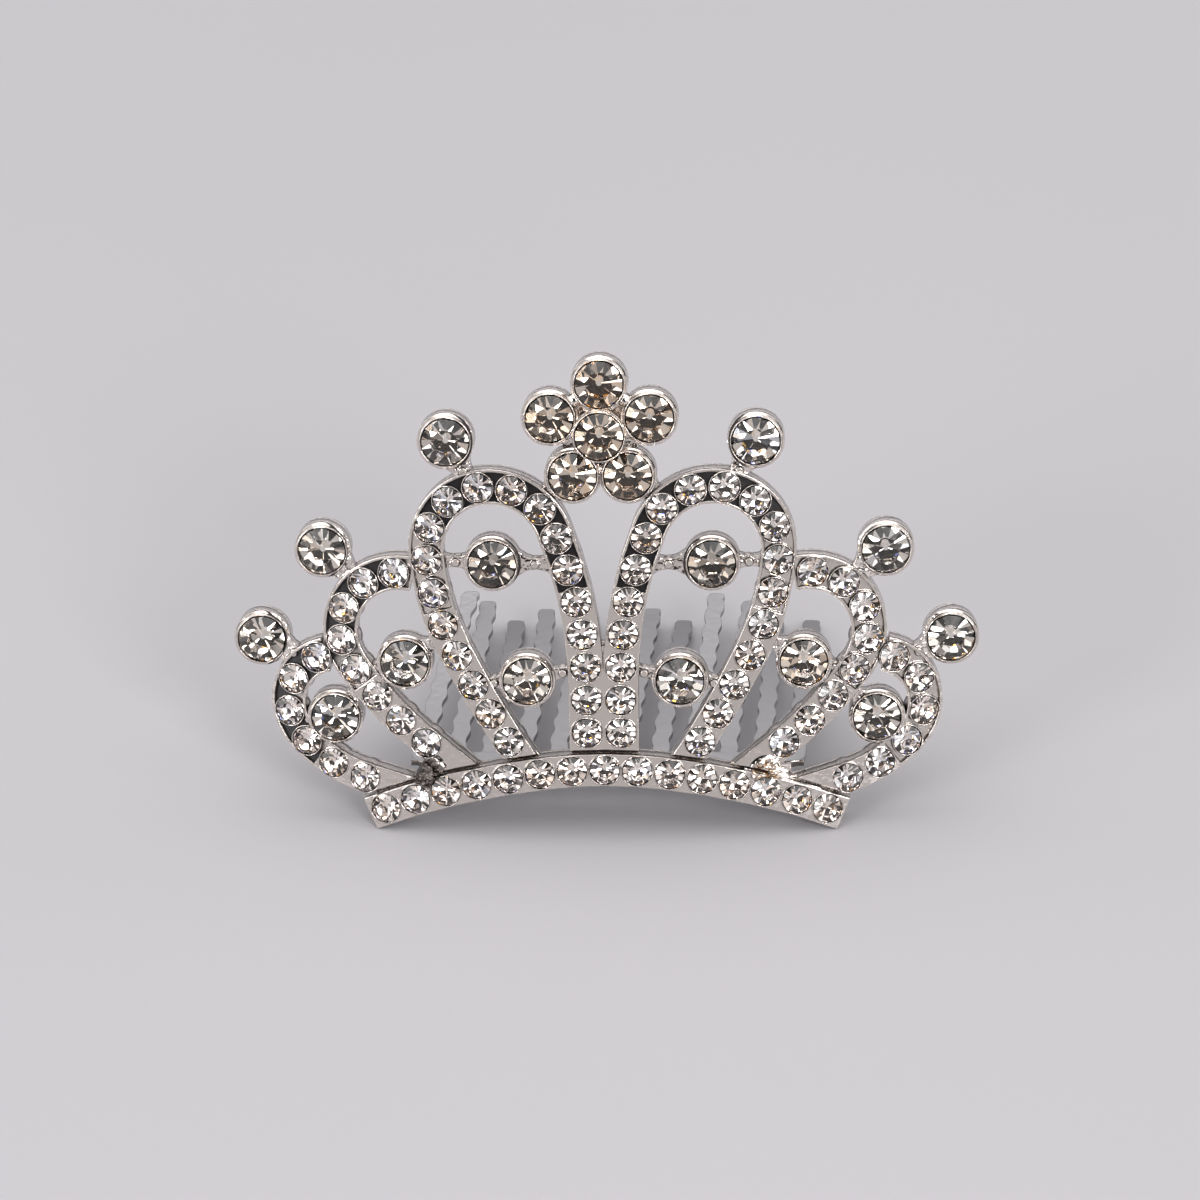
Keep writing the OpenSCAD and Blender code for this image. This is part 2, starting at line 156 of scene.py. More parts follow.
class TiaraStoneSettings(bpy.types.PropertyGroup):
    facets: IntProperty(
        name="Facets round", default=8, min=6, max=12,
        description="Number of facets round the crown, and round the back")
    table: FloatProperty(
        name="Table", default=0.58, min=0.4, max=0.6, subtype="FACTOR",
        description="Width of the flat top as a share of the stone's diameter")
    crown: FloatProperty(
        name="Crown height", default=0.165, min=0.1, max=0.17, subtype="FACTOR",
        description="Height of the top part as a share of the stone's diameter")
    culet: FloatProperty(
        name="Culet", default=0.12, min=0.05, max=0.3, subtype="FACTOR",
        description="Width of the flat at the back's point as a share of the stone's diameter")
    tilt: FloatProperty(
        name="Tilt", default=math.radians(2.0), min=0.0, max=math.radians(3), subtype="ANGLE",
        unit="ROTATION", description="How far a stone may sit out of true in its cup")


class TiaraMetalSettings(bpy.types.PropertyGroup):
    colour: FloatVectorProperty(
        name="Plating", size=4, subtype="COLOR", min=0, max=1, default=srgb("#e0d8d2"),
        description="Colour of the plated metal where it faces the eye")
    sheet_colour: FloatVectorProperty(
        name="Rolled sheet", size=4, subtype="COLOR", min=0, max=1, default=srgb("#adacae"),
        description="Colour of the stamped comb")
    roughness: FloatProperty(
        name="Roughness", default=0.09, min=0, max=1, subtype="FACTOR",
        description="Roughness of the plated casting")
    sheet_rough: FloatProperty(
        name="Sheet roughness", default=0.3, min=0, max=1, subtype="FACTOR",
        description="How much rougher the comb's rolled sheet is than the casting")
    knots: FloatProperty(
        name="Knots", default=5.5, min=0, max=10,
        description="How much stronger the ripples are on the stems and lugs")
    ripple: FloatProperty(
        name="Ripple", default=0.9 * MM, min=0.1 * MM, max=5 * MM, subtype="DISTANCE",
        unit="LENGTH", description="Width of the soft ripples left by casting and polishing")
    turn_up: FloatProperty(
        name="Channel turn", default=0.2, min=0, max=0.5, subtype="FACTOR",
        description="How far the channel's floor turns up on the tops of the arches")
    # Colour of the painted dark reflection and shade on the channel's floor
    channel_colour: FloatVectorProperty(
        name="Channel floor", size=4, subtype="COLOR", min=0, max=1, default=srgb("#252223"),
        description="Colour of the dull dark layer on the channel's floor")
    # Reach of the painted shade out of seams and corners
    seam: FloatProperty(
        name="Seam width", default=0.16 * MM, min=0.05 * MM, max=1 * MM, subtype="DISTANCE",
        unit="LENGTH", description="How far dark residue reaches out of seams and corners")
    edge: FloatProperty(
        name="Edge radius", default=0.15 * MM, min=0, max=0.3 * MM, subtype="DISTANCE",
        unit="LENGTH", description="Radius of the worn edges of the casting")


class TiaraStudioSettings(bpy.types.PropertyGroup):
    floor: FloatVectorProperty(
        name="Floor", size=4, subtype="COLOR", min=0, max=1, default=srgb("#939194"),
        description="Colour of the matt table top")
    room: FloatProperty(
        name="Room", default=2.7, min=0, description="Brightness of the white walls and ceiling")
    key_power: FloatProperty(
        name="Key light", default=13.0, min=0, unit="POWER",
        description="Power of the soft light in front on the right")
    fill_power: FloatProperty(
        name="Fill light", default=8.6, min=0, unit="POWER",
        description="Power of the soft light in front on the left")
    top_power: FloatProperty(
        name="Top light", default=3.5, min=0, unit="POWER",
        description="Power of the soft light overhead")


def add_node(tree, kind, settings=None, links=None):
    """Adds a node, sets its properties and sockets by name, and links its inputs. A source is a
    socket, or a node that stands for its first output in use."""
    node = tree.nodes.new(kind)
    for name, value in (settings or {}).items():
        if isinstance(name, str) and hasattr(node, name):
            setattr(node, name, value)
        else:
            node.inputs[name].default_value = value
    for name, source in (links or {}).items():
        if isinstance(source, bpy.types.Node):
            source = next(output for output in source.outputs if output.enabled)
        tree.links.new(source, node.inputs[name])
    return node


def new_material(name):
    material = bpy.data.materials.new(name)
    material.use_nodes = True
    material.node_tree.nodes.clear()
    return material, material.node_tree


def upright_places(tree, place):
    """Places on the upright front (x across, y back, z up) and depth behind the bowed front, both
    in millimetres."""
    upright = add_node(tree, "ShaderNodeMapping", {
        "vector_type": "TEXTURE", "Location": (0, -BACK_Y * MM, 0), "Rotation": (-LEAN, 0, 0),
        "Scale": (MM, MM, MM)}, {"Vector": place})
    from_axis = add_node(tree, "ShaderNodeVectorMath", {"operation": "SUBTRACT", 1: (0, BOW_R, 0)},
                         {0: upright})
    radial = add_node(tree, "ShaderNodeVectorMath", {"operation": "MULTIPLY", 1: (1, 1, 0)},
                      {0: from_axis})
    radius = add_node(tree, "ShaderNodeVectorMath", {"operation": "LENGTH"}, {0: radial})
    depth = add_node(tree, "ShaderNodeMath", {"operation": "SUBTRACT", 0: BOW_R}, {1: radius})
    return upright, depth


def comb_sheet(tree, place, depth):
    """The stamped comb, which lies low behind the casting."""
    parts = add_node(tree, "ShaderNodeSeparateXYZ", {}, {"Vector": place})
    behind = add_node(tree, "ShaderNodeMapRange",
                      {"From Min": COMB_DEPTH[0], "From Max": COMB_DEPTH[1]}, {"Value": depth})
    low = add_node(tree, "ShaderNodeMapRange",
                   {"From Min": COMB_TOP[0] * MM, "From Max": COMB_TOP[1] * MM},
                   {"Value": parts.outputs["Z"]})
    return add_node(tree, "ShaderNodeMath", {"operation": "MULTIPLY"}, {0: behind, 1: low})


def as_cast(tree, facing, cast):
    """The walls, which stand square to the leaned front, and the walls with the back, which is left
    as cast too but is half as grainy."""
    sideways = add_node(tree, "ShaderNodeMath", {"operation": "ABSOLUTE"}, {0: facing})
    wall = add_node(tree, "ShaderNodeMapRange", {"From Min": 0.75, "From Max": 0.3},
                    {"Value": sideways})
    wall_cast = add_node(tree, "ShaderNodeMath", {"operation": "MULTIPLY"}, {0: wall, 1: cast})
    back = add_node(tree, "ShaderNodeMapRange", {"From Min": -0.5, "From Max": -0.8, "To Max": 0.5},
                    {"Value": facing})
    back_cast = add_node(tree, "ShaderNodeMath", {"operation": "MULTIPLY"}, {0: back, 1: cast})
    unpolished = add_node(tree, "ShaderNodeMath", {"operation": "MAXIMUM"},
                          {0: wall_cast, 1: back_cast})
    return wall_cast, unpolished


def dark_channel(tree, upright, depth):
    """Floor of the sunk channel between the stones where it is painted dark, a painted reflection
    and
    shade: along the tops of the arches, on the big ones lower down inside than outside, and down
    the outsides of the outer ones. On the smaller arches on the right it is painted only faintly."""
    front = add_node(tree, "ShaderNodeSeparateXYZ", {}, {"Vector": upright})
    sunk = add_node(tree, "ShaderNodeMath",
                    {"operation": "COMPARE", 1: CHANNEL_DEPTH[0], 2: CHANNEL_DEPTH[1]}, {0: depth})
    across = add_node(tree, "ShaderNodeMath", {"operation": "ABSOLUTE"}, {0: front.outputs["X"]})
    up_big = add_node(tree, "ShaderNodeMath", {"operation": "MULTIPLY_ADD", 1: BIG_TOPS_SLOPE},
                      {0: across, 2: front.outputs["Z"]})
    on_big = add_node(tree, "ShaderNodeMapRange",
                      {"From Min": BIG_TOPS[0], "From Max": BIG_TOPS[1]}, {"Value": up_big})
    up_middle = add_node(tree, "ShaderNodeMath",
                         {"operation": "MULTIPLY_ADD", 1: MIDDLE_TOPS_SLOPE},
                         {0: across, 2: front.outputs["Z"]})
    on_middle = add_node(tree, "ShaderNodeMapRange",
                         {"From Min": MIDDLE_TOPS[0], "From Max": MIDDLE_TOPS[1]},
                         {"Value": up_middle})
    off_big = add_node(tree, "ShaderNodeMapRange",
                       {"From Min": BIG_ARCH_SIDE[0], "From Max": BIG_ARCH_SIDE[1]},
                       {"Value": across})
    past_big = add_node(tree, "ShaderNodeMath", {"operation": "MULTIPLY"},
                        {0: on_middle, 1: off_big})
    on_top = add_node(tree, "ShaderNodeMath", {"operation": "MAXIMUM"}, {0: on_big, 1: past_big})
    out_side = add_node(tree, "ShaderNodeMath",
                        {"operation": "MULTIPLY_ADD", 1: OUTER_SIDES_SLOPE},
                        {0: front.outputs["Z"], 2: across})
    on_side = add_node(tree, "ShaderNodeMapRange",
                       {"From Min": OUTER_SIDES[0], "From Max": OUTER_SIDES[1]},
                       {"Value": out_side})
    on_rim = add_node(tree, "ShaderNodeMath", {"operation": "MAXIMUM"}, {0: on_top, 1: on_side})
    dark_share = add_node(tree, "ShaderNodeMapRange",
                       {"From Min": PALER_RIGHT[0], "From Max": PALER_RIGHT[1],
                        "To Min": 1.0, "To Max": 0.15}, {"Value": front.outputs["X"]})
    dark_rim = add_node(tree, "ShaderNodeMath", {"operation": "MULTIPLY"}, {0: on_rim, 1: dark_share})
    return add_node(tree, "ShaderNodeMath", {"operation": "MULTIPLY"}, {0: sunk, 1: dark_rim})


def worn_normal(tree, settings, channel, facing):
    """Surface with worn edges, whose channel floor turns up a little to a darker part of the
    room."""
    flat = add_node(tree, "ShaderNodeMapRange",
                    {"From Min": 0.8, "From Max": 0.95, "To Max": settings.turn_up},
                    {"Value": facing})
    turned = add_node(tree, "ShaderNodeMath", {"operation": "MULTIPLY"}, {0: channel, 1: flat})
    push = add_node(tree, "ShaderNodeVectorMath", {"operation": "SCALE", 0: (0, 0, 1)},
                    {"Scale": turned})
    worn = add_node(tree, "ShaderNodeBevel", {"samples": 4, "Radius": settings.edge})
    tilted = add_node(tree, "ShaderNodeVectorMath", {"operation": "ADD"}, {0: worn, 1: push})
    return add_node(tree, "ShaderNodeVectorMath", {"operation": "NORMALIZE"}, {0: tilted})


def mould_layers(tree, ripple, grain, depth):
    """Layers that the mould left round the walls: a crinkled ridge at an even pitch of depth."""
    wavy = add_node(tree, "ShaderNodeMath", {"operation": "MULTIPLY_ADD", 1: 0.5},
                    {0: ripple, 2: depth})
    crinkly = add_node(tree, "ShaderNodeMath", {"operation": "MULTIPLY_ADD", 1: 1.0},
                       {0: grain, 2: wavy})
    turns = add_node(tree, "ShaderNodeMath",
                     {"operation": "MULTIPLY", 1: 2 * math.pi / MOULD_LAYER}, {0: crinkly})
    return add_node(tree, "ShaderNodeMath", {"operation": "SINE"}, {0: turns})


def flux_spot(tree, upright, middle, reach):
    """Strongest at a place on the upright front, and gone at a distance from it, in millimetres."""
    away = add_node(tree, "ShaderNodeVectorMath", {"operation": "DISTANCE", 1: middle},
                    {0: upright})
    return add_node(tree, "ShaderNodeMapRange", {"From Min": reach, "From Max": 0.6 * reach},
                    {"Value": away})


def soft_ripples(tree, settings, ripple, depth, facing, normal):
    """Soft ripples of the polished front, knotty on the stems and lugs, which lie a little below
    the strips."""
    below = add_node(tree, "ShaderNodeMath",
                     {"operation": "COMPARE", 1: STEM_DEPTH[0], 2: STEM_DEPTH[1]}, {0: depth})
    ahead = add_node(tree, "ShaderNodeMapRange", {"From Min": 0.3, "From Max": 0.6},
                     {"Value": facing})
    knotty = add_node(tree, "ShaderNodeMath", {"operation": "MULTIPLY"}, {0: below, 1: ahead})
    gain = add_node(tree, "ShaderNodeMath",
                    {"operation": "MULTIPLY_ADD", 1: settings.knots, 2: 1.0}, {0: knotty})
    swell = add_node(tree, "ShaderNodeMath", {"operation": "MULTIPLY"}, {0: ripple, 1: gain})
    return add_node(tree, "ShaderNodeBump", {"Strength": 0.35, "Distance": 0.12 * MM},
                    {"Height": swell, "Normal": normal})


def painted_crease_shade(tree, settings, grain, ridge, wall_cast):
    """One where the metal is lit, and less where painted shade darkens seams, corners, deep slots
    and the valleys of the walls."""
    seam = add_node(tree, "ShaderNodeAmbientOcclusion", {"samples": 6, "Distance": settings.seam})
    patchy_air = add_node(tree, "ShaderNodeMath", {"operation": "MULTIPLY_ADD", 1: 0.5},
                          {0: grain, 2: seam.outputs["AO"]})
    open_air = add_node(tree, "ShaderNodeMapRange", {"From Min": 0.62, "From Max": 1.12},
                        {"Value": patchy_air})
    slot = add_node(tree, "ShaderNodeAmbientOcclusion",
                    {"samples": 4, "Distance": 5 * settings.seam})
    shallow = add_node(tree, "ShaderNodeMapRange", {"From Min": 0.1, "From Max": 0.28},
                       {"Value": slot.outputs["AO"]})
    valley = add_node(tree, "ShaderNodeMapRange", {"From Min": -0.4, "From Max": -0.8},
                      {"Value": ridge})
    hollow = add_node(tree, "ShaderNodeMath", {"operation": "MULTIPLY"}, {0: valley, 1: wall_cast})
    unshaded = add_node(tree, "ShaderNodeMapRange", {"To Min": 1.0, "To Max": 0.15}, {"Value": hollow})
    lit_share = add_node(tree, "ShaderNodeMath", {"operation": "MULTIPLY"}, {0: open_air, 1: unshaded})
    return add_node(tree, "ShaderNodeMath", {"operation": "MULTIPLY"}, {0: lit_share, 1: shallow})


def plated_casting(settings):
    """Rhodium-plated cast zinc alloy: a cool mirror that ripples softly, with crinkled walls that
    show the mould's layers, painted shade in seams, painted dark reflection and shade on channel
    floors and a light line along each worn edge. The stamped comb is the same plating on rolled
    sheet, greyer and satin."""
    material, tree = new_material("rhodium_plated_cast_alloy")
    place = add_node(tree, "ShaderNodeTexCoord").outputs["Object"]
    upright, depth = upright_places(tree, place)
    sheet = comb_sheet(tree, place, depth)
    cast = add_node(tree, "ShaderNodeMath", {"operation": "SUBTRACT", 0: 1.0}, {1: sheet})
    surface = add_node(tree, "ShaderNodeNewGeometry")
    facing = add_node(tree, "ShaderNodeVectorMath",
                      {"operation": "DOT_PRODUCT", 1: (0, -math.cos(LEAN), math.sin(LEAN))},
                      {0: surface.outputs["True Normal"]})
    wall_cast, unpolished = as_cast(tree, facing, cast)
    channel = dark_channel(tree, upright, depth)
    ripple = add_node(tree, "ShaderNodeTexNoise",
                      {"Scale": 1 / settings.ripple, "Detail": 2.0, "Roughness": 0.5},
                      {"Vector": place})
    grain = add_node(tree, "ShaderNodeTexNoise",
                     {"Scale": 1 / (MOULD_GRAIN * MM), "Detail": 2.0, "Roughness": 0.6},
                     {"Vector": place})
    ridge = mould_layers(tree, ripple, grain, depth)
    line = add_node(tree, "ShaderNodeMath", {"operation": "MULTIPLY"}, {0: ridge, 1: wall_cast})
    # The flux crinkles the metal round the solder, which has set in small facets
    burnt_left = flux_spot(tree, upright, *FLUX_LEFT)
    burnt_right = flux_spot(tree, upright, *FLUX_RIGHT)
    fluxed = add_node(tree, "ShaderNodeMath", {"operation": "MAXIMUM"},
                      {0: burnt_left, 1: burnt_right})
    crinkled = add_node(tree, "ShaderNodeMath", {"operation": "MAXIMUM"},
                        {0: fluxed, 1: unpolished})
    grainy = add_node(tree, "ShaderNodeMath", {"operation": "MULTIPLY"}, {0: grain, 1: crinkled})
    lines = add_node(tree, "ShaderNodeMath", {"operation": "MULTIPLY_ADD", 1: 0.4},
                     {0: line, 2: grainy})
    crumple = add_node(tree, "ShaderNodeTexVoronoi", {"Scale": 1 / (SOLDER_FACET * MM)},
                       {"Vector": place})
    crumpled = add_node(tree, "ShaderNodeMath", {"operation": "MULTIPLY"}, {0: crumple, 1: fluxed})
    height = add_node(tree, "ShaderNodeMath", {"operation": "MULTIPLY_ADD", 1: 3.5},
                      {0: crumpled, 2: lines})
    normal = worn_normal(tree, settings, channel, facing)
    soft = soft_ripples(tree, settings, ripple, depth, facing, normal)
    rough = add_node(tree, "ShaderNodeBump", {"Strength": 1.0, "Distance": 0.1 * MM},
                     {"Height": height, "Normal": soft})
    # Grain, rolled sheet and the painted-dark channel floor each make the mirror duller
    gloss = add_node(tree, "ShaderNodeMapRange",
                     {"To Min": settings.roughness, "To Max": settings.roughness + 0.1},
                     {"Value": grainy})
    satin = add_node(tree, "ShaderNodeMath",
                     {"operation": "MULTIPLY_ADD", 1: settings.sheet_rough}, {0: sheet, 2: gloss})
    dulled = add_node(tree, "ShaderNodeMath", {"operation": "MULTIPLY_ADD", 1: 0.25},
                      {0: channel, 2: satin})
    # Less metallic where the channel's floor is painted dark
    metallic_share = add_node(tree, "ShaderNodeMapRange", {"To Min": 1.0, "To Max": 0.15},
                      {"Value": channel})
    unshaded = painted_crease_shade(tree, settings, grain, ridge, wall_cast)
    rolled = add_node(tree, "ShaderNodeMix",
                      {"data_type": "RGBA", 6: settings.colour, 7: settings.sheet_colour},
                      {0: sheet})
    # Painted shade darkens seams, corners, deep slots and the valleys of the walls
    plating = add_node(tree, "ShaderNodeMix", {"data_type": "RGBA", 6: srgb(CREASE_SHADE)},
                       {0: unshaded, 7: rolled})
    # Painted dark reflection and shade on the channel's floor
    shaded = add_node(tree, "ShaderNodeMix", {"data_type": "RGBA", 7: settings.channel_colour},
                      {0: channel, 6: plating})
    # The flux is burnt dark on the left, and golden brown in patches on the right
    dark = add_node(tree, "ShaderNodeMix", {"data_type": "RGBA", 7: srgb(BURNT_FLUX)},
                    {0: burnt_left, 6: shaded})
    patchy = add_node(tree, "ShaderNodeMapRange", {"From Min": 0.42, "From Max": 0.56},
                      {"Value": grain})
    golden = add_node(tree, "ShaderNodeMath", {"operation": "MULTIPLY"},
                      {0: burnt_right, 1: patchy})
    colour = add_node(tree, "ShaderNodeMix", {"data_type": "RGBA", 7: srgb(GOLDEN_FLUX)},
                      {0: golden, 6: dark})
    # The specular level only reaches the painted-dark channel floor, because fully metallic plating
    # doesn't use it
    shader = add_node(tree, "ShaderNodeBsdfPrincipled", {"Specular IOR Level": 0.2},
                      {"Base Color": colour, "Metallic": metallic_share, "Roughness": dulled,
                       "Normal": rough})
    add_node(tree, "ShaderNodeOutputMaterial", {}, {"Surface": shader})
    return material


def cut_glass(name, colour):
    """Cut lead glass: clear, and bends light strongly, so that each facet shows another piece of
    the back."""
    material, tree = new_material(name)
    shader = add_node(tree, "ShaderNodeBsdfPrincipled", {
        "Base Color": srgb(colour), "Roughness": 0.0, "IOR": 1.56, "Transmission Weight": 1.0})
    add_node(tree, "ShaderNodeOutputMaterial", {}, {"Surface": shader})
    return material


def foil_back(name, colour):
    """Silver foil fired on the back of the stone: a mirror seen through the glass, with a faint
    colour on a few facets as the glass splits the light."""
    material, tree = new_material(name)
    tint = add_node(tree, "ShaderNodeAttribute", {"attribute_name": "flash"})
    mixed = add_node(tree, "ShaderNodeMix",
                     {"data_type": "RGBA", "blend_type": "MULTIPLY", 0: 1.0, 6: srgb(colour)},
                     {7: tint})
    shader = add_node(tree, "ShaderNodeBsdfPrincipled", {"Metallic": 1.0, "Roughness": 0.02},
                      {"Base Color": mixed})
    add_node(tree, "ShaderNodeOutputMaterial", {}, {"Surface": shader})
    return material


def stone_places(node):
    """Middle of the top face, direction out of the front and diameter of each plain stone."""
    mesh = bmesh.new()
    mesh.from_mesh(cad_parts[node].data)
    bmesh.ops.remove_doubles(mesh, verts=mesh.verts, dist=1e-6)
    # A dict keeps the order of the mesh, so each run gives the same result
    unseen, places = dict.fromkeys(mesh.verts), []
    while unseen:
        island, to_visit = [], [unseen.popitem()[0]]
        while to_visit:
            vert = to_visit.pop()
            island.append(vert)
            for edge in vert.link_edges:
                other = edge.other_vert(vert)
                if other in unseen:
                    del unseen[other]
                    to_visit.append(other)
        points = np.array([v.co for v in island])
        middle = points.mean(0)
        axis = np.linalg.eigh(np.cov((points - middle).T))[1][:, 0]
        axis = axis if axis[1] < 0 else -axis
        along = (points - middle) @ axis
        radius = np.linalg.norm(points - middle - np.outer(along, axis), axis=1).max()
        places.append((Vector(middle + axis * along.max()), Vector(axis), 2 * radius))
    mesh.free()
    return sorted(places, key=lambda p: (round(p[0].x, 6), round(p[0].z, 6)))


def add_stone(mesh, place, settings, draw, flash):
    """Adds one brilliant to the mesh: flat table, facets round the crown, thin girdle, and a foiled
    back whose facets stand half a step off those of the crown and end in a small flat culet."""
    top, axis, dia = place
    n, seg = settings.facets, GIRDLE_STEPS
    step = math.pi / n
    r, crown, deep, drop = STONE_R * dia, settings.crown * dia, BACK_DEPTH * dia, GIRDLE_DROP * dia
    table_r, culet_r = settings.table / 2 * dia, settings.culet / 2 * dia
    table_in, r_in = table_r * math.cos(step), r * math.cos(step)
    slope = (deep - drop) / r_in
    turn = Matrix.Rotation(draw.uniform(0, 2 * math.pi), 4, "Z")
    lean = Matrix.Rotation(draw.uniform(-1, 1) * settings.tilt, 4, "X") @ Matrix.Rotation(
        draw.uniform(-1, 1) * settings.tilt, 4, "Y")
    upright = axis.to_track_quat("Z", "Y").to_matrix().to_4x4()
    move = Matrix.Translation(top - axis * (SEAT_DEPTH * dia)) @ upright @ lean @ turn

    def vert(angle, radius, height):
        spot = Vector((radius * math.cos(angle), radius * math.sin(angle), height))
        return mesh.verts.new(move @ spot)

    def crown_height(off):
        return crown * (r - r * math.cos(off)) / (r - table_in)

    def back_height(radius, off):
        return -drop + slope * (radius * math.cos(off) - r_in)

    parts = [(k, j / seg) for k in range(n) for j in range(seg)]
    upper = [vert(2 * step * (k + p), r, crown_height(abs(2 * p - 1) * step)) for k, p in parts]
    lower = [vert(2 * step * (k + p), r,
                  back_height(r, 2 * min(p, 1 - p) * step) - GIRDLE_LEAST * dia) for k, p in parts]
    table = [vert(2 * step * k, table_r, crown) for k in range(n)]
    culet = [vert(2 * step * (k - 0.5), culet_r, back_height(culet_r, step)) for k in range(n)]
    glass, foil = 0, 1
    faces = [(mesh.faces.new(table), glass), (mesh.faces.new(culet[::-1]), foil)]
    for k in range(n):
        ring = [(k * seg + j) % (n * seg) for j in range(seg + 1)]
        back_ring = [(i - seg // 2) % (n * seg) for i in ring]
        crown_facet = [table[(k + 1) % n], table[k]] + [upper[i] for i in ring]
        back_facet = [culet[k], culet[(k + 1) % n]] + [lower[i] for i in reversed(back_ring)]
        faces += [(mesh.faces.new(crown_facet), glass), (mesh.faces.new(back_facet), foil)]
        for i, j in zip(ring, ring[1:]):
            faces.append((mesh.faces.new([upper[j], upper[i], lower[i], lower[j]]), foil))
    for face, slot in faces:
        face.material_index = slot
        face[flash] = draw_flash(draw, len(face.verts) == 4)


def draw_flash(draw, girdle):
    """White for most facets, often faintly warm or cool, and a spectral colour on a few small ones
    of the girdle."""
    pick = draw.random()
    flashes = GIRDLE_FLASHES + FACET_FLASHES if girdle else FACET_FLASHES
    return Vector((*next(colour for share, colour in flashes if pick < share), 1.0))


def cut_stones(node, settings, materials, seed):
    """One piece of cut stones that stands for a CAD node of plain ones."""
    draw = random.Random(seed)
    mesh = bmesh.new()
    flash = mesh.faces.layers.float_color.new("flash")
    for place in stone_places(node):
        add_stone(mesh, place, settings, draw, flash)
    bmesh.ops.recalc_face_normals(mesh, faces=mesh.faces)
    data = bpy.data.meshes.new("cut_" + node)
    mesh.to_mesh(data)
    mesh.free()
    piece = bpy.data.objects.new("cut_" + node, data)
    bpy.context.scene.collection.objects.link(piece)
    for material in materials:
        data.materials.append(material)
    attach(piece, "root")
    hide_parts(node)


class TIARA_OT_plate_metal(bpy.types.Operator):
    """Plates the cast frame and the comb"""
    bl_idname = "tiara.plate_metal"
    bl_label = "Plate the frame and comb"

    def execute(self, context):
        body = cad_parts[FRAME_NODE]
        body.data.materials.clear()
        body.data.materials.append(plated_casting(context.scene.tiara_metal))
        return {"FINISHED"}


class TIARA_OT_cut_flower_stones(bpy.types.Operator):
    """Cuts the six stones of the flower, whose glass is a little warmer"""
    bl_idname = "tiara.cut_flower_stones"
    bl_label = "Cut the flower's stones"

    def execute(self, context):
        materials = [cut_glass("warm_cut_lead_glass", "#fffefb"),
                     foil_back("warm_silver_foil", "#f6efe7")]
        for k, node in enumerate(FLOWER):
            cut_stones(node, context.scene.tiara_stones, materials, FLOWER_SEED + k)
        return {"FINISHED"}


class TIARA_OT_cut_large_stones(bpy.types.Operator):
    """Cuts the large stones on and inside the arches"""
    bl_idname = "tiara.cut_large_stones"
    bl_label = "Cut the other large stones"

    def execute(self, context):
        glass = cut_glass("cut_lead_glass", "#ffffff")
        bright = foil_back("silver_foil", "#f6f3ef")
        greyer = foil_back("greyer_silver_foil", "#dfdbd6")
        for k, node in enumerate(TIPS + INNER):
            foil = greyer if node in GREYER else bright
            cut_stones(node, context.scene.tiara_stones, [glass, foil], LARGE_SEED + k)
        return {"FINISHED"}


class TIARA_OT_cut_small_stones(bpy.types.Operator):
    """Cuts the rows of small stones on the band and the arches"""
    bl_idname = "tiara.cut_small_stones"
    bl_label = "Cut the rows of small stones"

    def execute(self, context):
        materials = [cut_glass("small_cut_glass", "#ffffff"),
                     foil_back("small_silver_foil", "#fdfaf8")]
        for k, node in enumerate(ROWS):
            cut_stones(node, context.scene.tiara_stones, materials, ROW_SEED + k)
        return {"FINISHED"}


def table_top(settings):
    """Matt white laminate: even, with the faintest sheen and soft patches of uneven light."""
    material, tree = new_material("matt_white_laminate")
    place = add_node(tree, "ShaderNodeTexCoord").outputs["Object"]
    patches = add_node(tree, "ShaderNodeTexNoise", {"Scale": 1 / (TABLE_PATCH * MM), "Detail": 1.0},
                       {"Vector": place})
    shade = add_node(tree, "ShaderNodeMapRange", {"To Min": 0.97, "To Max": 1.03},
                     {"Value": patches})
    colour = add_node(tree, "ShaderNodeVectorMath", {"operation": "SCALE", 0: settings.floor[:3]},
                      {"Scale": shade})
    shader = add_node(tree, "ShaderNodeBsdfPrincipled",
                      {"Roughness": 0.55, "Specular IOR Level": 0.25}, {"Base Color": colour})
    add_node(tree, "ShaderNodeOutputMaterial", {}, {"Surface": shader})
    return material


def set_table(settings):
    data = bpy.data.meshes.new("table_top")
    corners = [(-1, -1), (1, -1), (1, 1), (-1, 1)]
    data.from_pydata([(TABLE_HALF * x, TABLE_HALF * y, 0) for x, y in corners], [], [(0, 1, 2, 3)])
    data.materials.append(table_top(settings))
    floor = bpy.data.objects.new("table_top", data)
    bpy.context.scene.collection.objects.link(floor)


def height_tones(tree, height, stops):
    """A ramp of tones over the sine of the angle above the horizon."""
    ramp = add_node(tree, "ShaderNodeValToRGB", {}, {"Fac": height})
    elements = ramp.color_ramp.elements
    elements[0].position, elements[0].color = stops[0][0], srgb(stops[0][1])
    elements[1].position, elements[1].color = stops[-1][0], srgb(stops[-1][1])
    for position, tone in stops[1:-1]:
        elements.new(position).color = srgb(tone)
    return ramp


